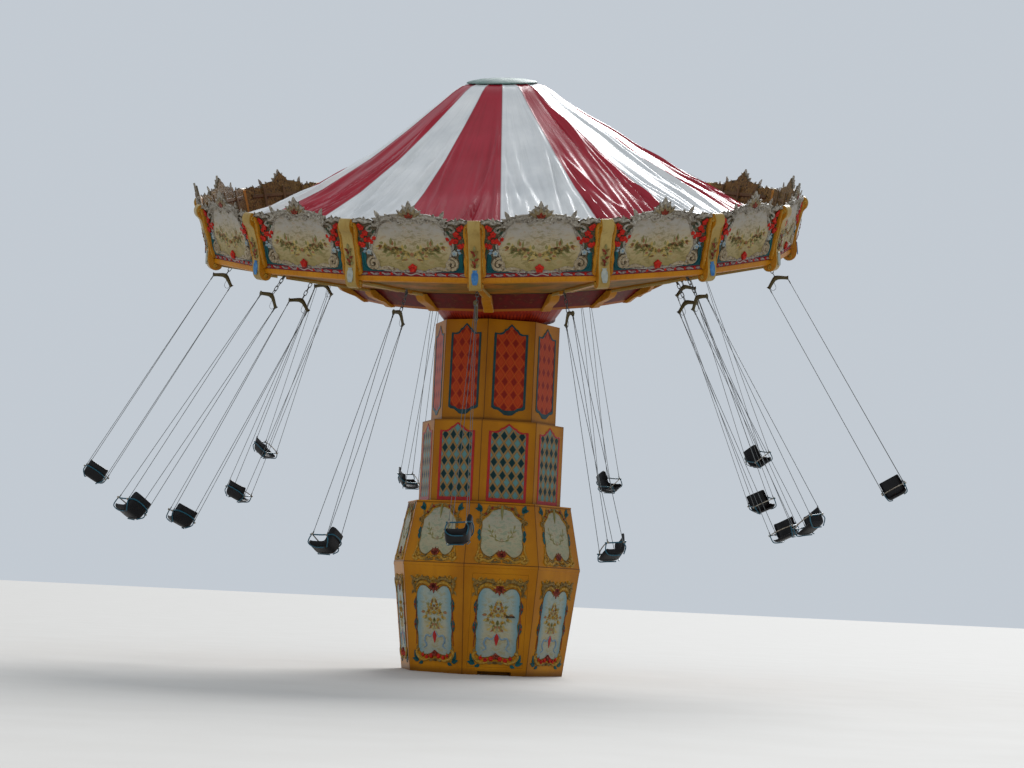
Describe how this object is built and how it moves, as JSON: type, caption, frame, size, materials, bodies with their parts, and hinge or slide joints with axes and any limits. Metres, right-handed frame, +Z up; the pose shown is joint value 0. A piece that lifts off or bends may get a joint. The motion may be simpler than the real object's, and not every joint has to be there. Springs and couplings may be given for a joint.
{
  "type": "chair swing ride",
  "caption": "Fairground chair swing ride: octagonal telescoping tower, tilting striped crown with painted rim panels, and rope-hung bucket seats.",
  "frame": {"origin": "on the flat underside of the base, at the tower axis", "axes": "+Z up, -Y towards the side with the access door, +X to the right seen from that side"},
  "size_m": [17.1771, 16.983, 12.2604],
  "materials": {
    "amber_paint": "gloss paint",
    "steel_grey": "satin paint",
    "red_paint": "gloss paint",
    "orange_paint": "gloss paint",
    "cream_paint": "gloss paint",
    "canopy_cloth": "coated cloth",
    "cap_green": "satin paint",
    "seat_black": "satin paint"
  },
  "bodies": {
    "base": {"base_floor": "steel_grey", "base_lower_shell": "amber_paint", "base_belt": "orange_paint", "base_upper_shell": "amber_paint", "base_top_deck": "amber_paint"},
    "door": {"access_door": "amber_paint"},
    "column": {"turntable_mast": "steel_grey"},
    "middle_stage": {"middle_mast": "steel_grey", "middle_casing": "amber_paint"},
    "upper_stage": {"inner_mast": "steel_grey", "upper_casing": "amber_paint", "mast_head": "steel_grey"},
    "cradle": {"tilt_cradle": "steel_grey"},
    "crown": {"crown_hub": "steel_grey", "king_post": "steel_grey", "arm_frame": "steel_grey", "soffit": "amber_paint", "crown_band": "red_paint", "neck_skirt": "orange_paint", "rim_moulding": "orange_paint", "rim_section_1": "cream_paint", "rim_section_2": "cream_paint", "rim_section_3": "cream_paint", "rim_section_4": "cream_paint", "canopy": "canopy_cloth", "canopy_cap": "cap_green"},
    "swing_01": {"swing_01": "seat_black"},
    "swing_02": {"swing_02": "seat_black"},
    "swing_03": {"swing_03": "seat_black"},
    "swing_04": {"swing_04": "seat_black"},
    "swing_05": {"swing_05": "seat_black"},
    "swing_06": {"swing_06": "seat_black"},
    "swing_07": {"swing_07": "seat_black"},
    "swing_08": {"swing_08": "seat_black"},
    "swing_09": {"swing_09": "seat_black"},
    "swing_10": {"swing_10": "seat_black"},
    "swing_11": {"swing_11": "seat_black"},
    "swing_12": {"swing_12": "seat_black"},
    "swing_13": {"swing_13": "seat_black"},
    "swing_14": {"swing_14": "seat_black"},
    "swing_15": {"swing_15": "seat_black"},
    "swing_16": {"swing_16": "seat_black"}
  },
  "joints": [
    {"name": "access_door_hinge", "type": "hinge", "parent": "base", "child": "door", "pos_m": [-0.27056, -1.75827, 1.08256], "axis": [-0.0195, 0.115, -0.9932], "range_deg": [0, 100]},
    {"name": "column_turn", "type": "hinge", "parent": "base", "child": "column", "pos_m": [0, 0, 0.26], "axis": [0, 0, 1], "continuous": true},
    {"name": "middle_lift", "type": "slide", "parent": "column", "child": "middle_stage", "axis": [0, 0, 1], "range_m": [-1.1, 0]},
    {"name": "upper_lift", "type": "slide", "parent": "middle_stage", "child": "upper_stage", "axis": [0, 0, 1], "range_m": [-1.3, 0]},
    {"name": "crown_tilt", "type": "hinge", "parent": "upper_stage", "child": "cradle", "pos_m": [0, 0, 7.881], "axis": [0.9748, -0.2233, 0], "range_deg": [-13.71, 0]},
    {"name": "crown_spin", "type": "hinge", "parent": "cradle", "child": "crown", "pos_m": [0, 0, 7.881], "axis": [-0.0529, -0.231, 0.9715], "continuous": true},
    {"name": "swing_01_hinge", "type": "hinge", "parent": "crown", "child": "swing_01", "pos_m": [-0.40222, -5.4738, 7.27383], "axis": [-0.9956, 0.0876, -0.0334], "range_deg": [-45.63, 10]},
    {"name": "swing_02_hinge", "type": "hinge", "parent": "crown", "child": "swing_02", "pos_m": [1.25265, -3.76958, 7.43469], "axis": [-0.97, -0.2194, -0.105], "range_deg": [-37.26, 10]},
    {"name": "swing_03_hinge", "type": "hinge", "parent": "crown", "child": "swing_03", "pos_m": [3.56426, -4.21668, 7.7888], "axis": [-0.813, -0.555, -0.1762], "range_deg": [-39.88, 10]},
    {"name": "swing_04_hinge", "type": "hinge", "parent": "crown", "child": "swing_04", "pos_m": [3.54246, -1.84678, 8.01665], "axis": [-0.6581, -0.7237, -0.2079], "range_deg": [-29.46, 10]},
    {"name": "swing_05_hinge", "type": "hinge", "parent": "crown", "child": "swing_05", "pos_m": [5.42128, -0.58369, 8.75388], "axis": [-0.2905, -0.9272, -0.2363], "range_deg": [-30.39, 10]},
    {"name": "swing_06_hinge", "type": "hinge", "parent": "crown", "child": "swing_06", "pos_m": [3.74565, 1.10763, 8.73028], "axis": [-0.0775, -0.969, -0.2346], "range_deg": [-19.95, 10]},
    {"name": "swing_07_hinge", "type": "hinge", "parent": "crown", "child": "swing_07", "pos_m": [4.08101, 3.29704, 9.60372], "axis": [0.469, -0.8646, -0.1801], "range_deg": [-21.54, 10]},
    {"name": "swing_08_hinge", "type": "hinge", "parent": "crown", "child": "swing_08", "pos_m": [1.74319, 3.363, 9.15755], "axis": [0.7963, -0.5969, -0.0986], "range_deg": [-12.5, 10]},
    {"name": "swing_09_hinge", "type": "hinge", "parent": "crown", "child": "swing_09", "pos_m": [0.32857, 5.15221, 9.84051], "axis": [0.9986, -0.009, 0.0523], "range_deg": [-18.59, 10]},
    {"name": "swing_10_hinge", "type": "hinge", "parent": "crown", "child": "swing_10", "pos_m": [-1.29191, 3.59816, 9.04816], "axis": [0.7809, 0.5968, 0.1844], "range_deg": [-14.72, 10]},
    {"name": "swing_11_hinge", "type": "hinge", "parent": "crown", "child": "swing_11", "pos_m": [-3.63792, 3.8951, 9.32554], "axis": [0.5568, 0.8008, 0.2208], "range_deg": [-24.64, 10]},
    {"name": "swing_12_hinge", "type": "hinge", "parent": "crown", "child": "swing_12", "pos_m": [-3.58173, 1.67535, 8.46621], "axis": [0.0936, 0.9674, 0.2352], "range_deg": [-23.64, 10]},
    {"name": "swing_13_hinge", "type": "hinge", "parent": "crown", "child": "swing_13", "pos_m": [-5.49494, 0.2621, 8.36046], "axis": [-0.1136, 0.968, 0.224], "range_deg": [-34.19, 10]},
    {"name": "swing_14_hinge", "type": "hinge", "parent": "crown", "child": "swing_14", "pos_m": [-3.78491, -1.27906, 7.75258], "axis": [-0.4899, 0.8538, 0.1763], "range_deg": [-32.88, 10]},
    {"name": "swing_15_hinge", "type": "hinge", "parent": "crown", "child": "swing_15", "pos_m": [-4.15467, -3.61863, 7.51062], "axis": [-0.6986, 0.7037, 0.1293], "range_deg": [-42.87, 10]},
    {"name": "swing_16_hinge", "type": "hinge", "parent": "crown", "child": "swing_16", "pos_m": [-1.78245, -3.53442, 7.32531], "axis": [-0.9101, 0.4116, 0.0483], "range_deg": [-38.89, 10]}
  ],
  "couplings": [
    {"joint": "upper_lift", "follows": "middle_lift", "ratio": 1.1818}
  ]
}
